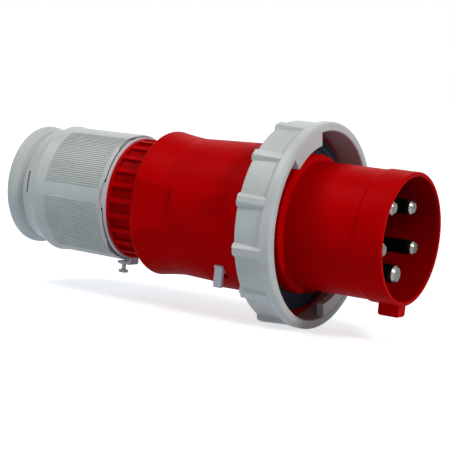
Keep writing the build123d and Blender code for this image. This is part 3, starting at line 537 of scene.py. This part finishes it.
class PLUG_OT_insulators(bpy.types.Operator):
    """Finish the contact carrier, its retainer and the slip washer"""

    bl_idname = "plug.insulators"
    bl_label = "Insulators"

    def execute(self, context):
        look = context.scene.plug_plastics
        black = moulded("black_plastic", look.black, look, look.grey_gloss, INSULATOR_ROUGHNESS)
        dress(black, "contact_carrier", "carrier_retainer", "thrust_washer")
        return {"FINISHED"}


class PLUG_OT_seals(bpy.types.Operator):
    """Finish the gasket, the round seal and the cable grommet in rubber"""

    bl_idname = "plug.seals"
    bl_label = "Seals"

    def execute(self, context):
        dark = rubber("dark_rubber", context.scene.plug_plastics.rubber)
        dress(dark, "flange_gasket", "housing_o_ring", "cable_grommet")
        return {"FINISHED"}


class PLUG_OT_contacts(bpy.types.Operator):
    """Finish the six contacts in plated metal, their shafts darkened with painted shadow"""

    bl_idname = "plug.contacts"
    bl_label = "Contacts"

    def execute(self, context):
        look = context.scene.plug_metals
        for name in ("earth", "l1", "l2", "l3", "neutral", "pilot"):
            node = frame["nodes"][f"contact_{name}"]
            dress(pin_metal(node, look.nickel, look.shaft, look.roughness), node.name)
        return {"FINISHED"}


class PLUG_OT_screws(bpy.types.Operator):
    """Finish the terminal, carrier and gland screws in plated steel"""

    bl_idname = "plug.screws"
    bl_label = "Screws"

    def execute(self, context):
        steel = plated_steel("plated_steel", context.scene.plug_metals.steel)
        dress(steel, "terminal_screws", "carrier_screws", "gland_lock_screw")
        return {"FINISHED"}


def thread_tree(material):
    """A geometry tree: a spiral about the plug's axis, swept with a ridge profile, closed at its ends."""
    tree = bpy.data.node_groups.new("Neck thread", "GeometryNodeTree")
    tree.interface.new_socket("Geometry", in_out="OUTPUT", socket_type="NodeSocketGeometry")
    for name in ("Turns", "Radius", "Length", "Ridge height", "Ridge width"):
        tree.interface.new_socket(name, in_out="INPUT", socket_type="NodeSocketFloat")
    given = add_node(tree, "NodeGroupInput").outputs

    def add(kind, inputs, settings=None):
        return add_node(tree, kind, settings, inputs).outputs[0]

    spiral = add("GeometryNodeCurveSpiral", {
        "Resolution": THREAD_SEGMENTS, "Rotations": given["Turns"], "Height": given["Length"],
        "Start Radius": given["Radius"], "End Radius": given["Radius"],
    })
    lying = add("GeometryNodeTransform", {"Geometry": spiral, "Rotation": (0.0, math.pi / 2, 0.0)})
    profile = add("GeometryNodeCurvePrimitiveQuadrilateral", {
        "Bottom Width": given["Ridge width"], "Top Width": THREAD_CREST,
        "Height": given["Ridge height"], "Offset": 0.0,
    }, {"mode": "TRAPEZOID"})
    # The sweep tilts the profile a little with each turn, up to about 40 degrees at the front end
    swept = add("GeometryNodeCurveToMesh", {
        "Curve": lying, "Profile Curve": profile, "Fill Caps": True,
    })
    real = add("GeometryNodeRealizeInstances", {"Geometry": swept})
    coated = add("GeometryNodeSetMaterial", {"Geometry": real, "Material": material})
    add_node(tree, "NodeGroupOutput", inputs={0: coated})
    return tree


class PLUG_OT_neck_thread(bpy.types.Operator):
    """Wind the thread round the housing's neck, under the gland nut"""

    bl_idname = "plug.neck_thread"
    bl_label = "Neck thread"

    def execute(self, context):
        look = context.scene.plug_thread
        tree = thread_tree(bpy.data.materials["red_plastic"])
        blank = bpy.data.meshes.new("neck_thread_source")
        source = bpy.data.objects.new("neck_thread_source", blank)
        context.scene.collection.objects.link(source)
        modifier = source.modifiers.new("Thread", "NODES")
        modifier.node_group = tree
        length = THREAD_FRONT - THREAD_REAR
        # The ridge's profile is centred on the root, so half of its height lies below the root
        values = {
            "Turns": length / look.pitch, "Radius": THREAD_ROOT_R, "Length": length,
            "Ridge height": 2 * look.height, "Ridge width": look.width,
        }
        for item in tree.interface.items_tree:
            if item.in_out == "INPUT":
                modifier[item.identifier] = values[item.name]
        context.view_layer.update()
        evaluated = source.evaluated_get(context.evaluated_depsgraph_get())
        mesh = bpy.data.meshes.new_from_object(evaluated)
        mesh.transform(Matrix.Translation((THREAD_REAR, 0.0, 0.0)))
        bpy.data.objects.remove(source)
        if not mesh.polygons:
            raise RuntimeError("the neck's thread came out empty")
        thread = bpy.data.objects.new("neck_thread", mesh)
        context.scene.collection.objects.link(thread)
        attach(thread, body_of("rear_housing"))
        return {"FINISHED"}


class PLUG_OT_stage(bpy.types.Operator):
    """Lay the floor, light the object and set up the camera"""

    bl_idname = "plug.stage"
    bl_label = "Stage"

    def execute(self, context):
        look = context.scene.plug_stage
        self.lay_floor(context, look)
        self.light(context, look)
        self.surround(context, look)
        self.set_camera(context)
        context.scene.view_settings.view_transform = "Standard"
        return {"FINISHED"}

    def lay_floor(self, context, look):
        half = look.size / 2
        level = CAD_LOW.z - FLOOR_DROP
        corners = [(-half, -half, level), (half, -half, level), (half, half, level), (-half, half, level)]
        mesh = bpy.data.meshes.new("floor")
        mesh.from_pydata(corners, [], [(0, 1, 2, 3)])
        floor = bpy.data.objects.new("floor", mesh)
        context.scene.collection.objects.link(floor)
        sheet = Sheet(bpy.data.materials.new("floor"))
        tone = sheet.noise(FLOOR_SCALE, 2.0)
        away = sheet.add("ShaderNodeVectorMath", {"operation": "LENGTH"}, {0: sheet.place()}, "Value")
        mesh.materials.append(sheet.finish(
            Base_Color=sheet.mix(tone, shade(look.floor, 0.985), shade(look.floor, 1.0)),
            Roughness=0.9,
            Specular_IOR_Level=0.0,
            Emission_Color=sheet.mix(away.step(*FLOOR_GLOW_RISE), shade(WHITE, FLOOR_GLOW), WHITE),
            Emission_Strength=sheet.seen_directly(),
        ))

    def light(self, context, look):
        aim = (CAD_LOW + CAD_HIGH) / 2
        for name, place, size, power, colour in LAMPS:
            lamp = bpy.data.lights.new(name, "AREA")
            lamp.size = size
            lamp.energy = power * look.power
            lamp.color = colour
            holder = bpy.data.objects.new(name, lamp)
            holder.location = place
            holder.rotation_euler = (aim - Vector(place)).to_track_quat("-Z", "Y").to_euler()
            context.scene.collection.objects.link(holder)

    def surround(self, context, look):
        """White where it is seen, dimmer as light on the object."""
        context.scene.world = bpy.data.worlds.new("studio")
        sheet = Sheet(context.scene.world)
        strength = sheet.seen_directly().most(look.ambient)
        back = sheet.add("ShaderNodeBackground", inputs={"Color": WHITE, "Strength": strength})
        sheet.add("ShaderNodeOutputWorld", inputs={"Surface": back})

    def set_camera(self, context):
        lens = bpy.data.cameras.new("camera")
        lens.lens = CAMERA_LENS
        lens.sensor_width = CAMERA_SENSOR
        lens.clip_start, lens.clip_end = CAMERA_CLIP
        camera = bpy.data.objects.new("camera", lens)
        columns = (Vector(CAMERA_RIGHT), Vector(CAMERA_UP), -Vector(CAMERA_FORWARD))
        turn = Matrix(columns).transposed().to_4x4()
        camera.matrix_world = Matrix.Translation(CAMERA_PLACE) @ turn
        context.scene.collection.objects.link(camera)
        context.scene.camera = camera


STEPS = (
    PLUG_OT_red_mouldings,
    PLUG_OT_grey_mouldings,
    PLUG_OT_insulators,
    PLUG_OT_seals,
    PLUG_OT_contacts,
    PLUG_OT_screws,
    PLUG_OT_neck_thread,
    PLUG_OT_stage,
)
GROUPS = {
    "plug_plastics": PlugPlastics,
    "plug_metals": PlugMetals,
    "plug_thread": PlugThread,
    "plug_stage": PlugStage,
}


class PLUG_PT_panel(bpy.types.Panel):
    """Sizes, colours and steps of the plug's looks"""

    bl_idname = "PLUG_PT_panel"
    bl_label = "Pin and sleeve plug"
    bl_space_type = "VIEW_3D"
    bl_region_type = "UI"
    bl_category = "Plug"

    def draw(self, context):
        layout = self.layout
        for attribute, group in GROUPS.items():
            box = layout.box()
            for key in group.__annotations__:
                box.prop(getattr(context.scene, attribute), key)
        for step in STEPS:
            layout.operator(step.bl_idname)


def register():
    for made in (*GROUPS.values(), *STEPS, PLUG_PT_panel):
        bpy.utils.register_class(made)
    for attribute, group in GROUPS.items():
        setattr(bpy.types.Scene, attribute, bpy.props.PointerProperty(type=group))


def unregister():
    for attribute in GROUPS:
        delattr(bpy.types.Scene, attribute)
    for made in reversed((*GROUPS.values(), *STEPS, PLUG_PT_panel)):
        bpy.utils.unregister_class(made)


def main():
    register()
    for step in STEPS:
        group, name = step.bl_idname.split(".")
        getattr(getattr(bpy.ops, group), name)()


if __name__ == "__main__":
    main()
